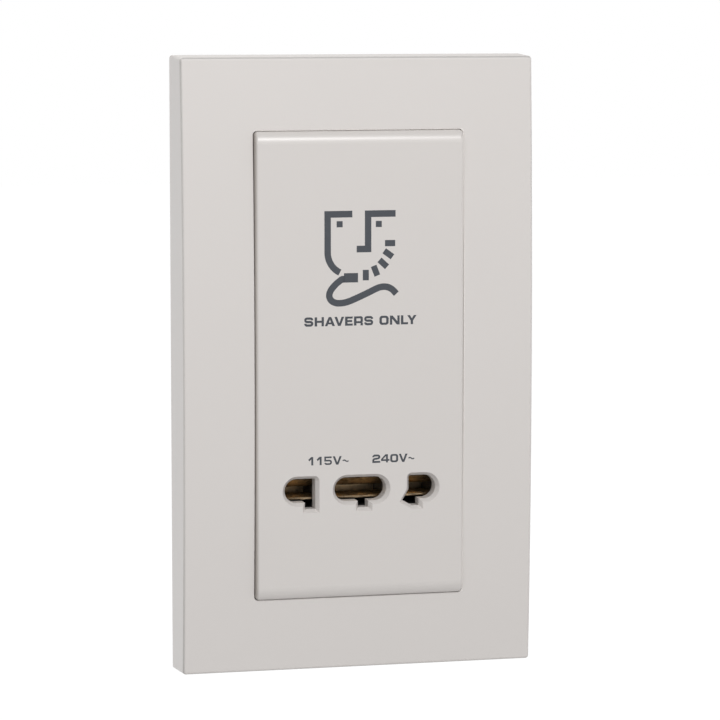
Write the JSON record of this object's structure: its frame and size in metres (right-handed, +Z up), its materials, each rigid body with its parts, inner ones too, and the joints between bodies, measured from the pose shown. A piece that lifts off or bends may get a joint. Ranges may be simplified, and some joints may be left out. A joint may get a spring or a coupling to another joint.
{
  "type": "shaver socket",
  "caption": "Two-gang wall plate with a bowed surround, a tall flat centre plate with shaver pin apertures, and an isolating transformer in a vented case behind it.",
  "frame": {"origin": "middle of the line between the two fixing holes, on the back face of the mounting grid, which is the wall's face", "axes": "+X to the right as seen from the front, +Y into the wall, +Z up the wall"},
  "size_m": [0.086, 0.049, 0.146],
  "materials": {
    "surround_plastic": "satin moulded",
    "plate_plastic": "satin moulded",
    "grid_steel": "zinc plated",
    "housing_plastic": "moulded",
    "screw_steel": "zinc plated",
    "carrier_plastic": "moulded",
    "contact_brass": "dulled",
    "lamination_steel": "varnished",
    "bobbin_nylon": "moulded",
    "winding_copper": "enamelled",
    "cutout_plastic": "moulded",
    "block_plastic": "moulded",
    "terminal_brass": "machined",
    "lead_brown": "extruded",
    "lead_blue": "extruded",
    "lead_grey": "extruded"
  },
  "bodies": {
    "root": {"surround_frame": "surround_plastic", "socket_plate": "plate_plastic", "mounting_grid": "grid_steel", "rear_housing": "housing_plastic", "housing_screws": "screw_steel", "contact_carrier": "carrier_plastic", "carrier_screws": "screw_steel", "contact_115v": "contact_brass", "contact_common": "contact_brass", "contact_240v": "contact_brass", "core_e_stack": "lamination_steel", "core_i_stack": "lamination_steel", "core_screws": "screw_steel", "bobbin": "bobbin_nylon", "primary_winding": "winding_copper", "secondary_winding": "winding_copper", "thermal_cutout": "cutout_plastic", "terminal_block": "block_plastic", "line_terminal": "terminal_brass", "neutral_terminal": "terminal_brass", "earth_terminal": "terminal_brass", "terminal_screws": "screw_steel", "earth_strap": "terminal_brass", "line_lead": "lead_brown", "cutout_lead": "lead_brown", "neutral_lead": "lead_blue", "lead_115v": "lead_grey", "lead_common": "lead_grey", "lead_240v": "lead_grey"}
  },
  "joints": []
}
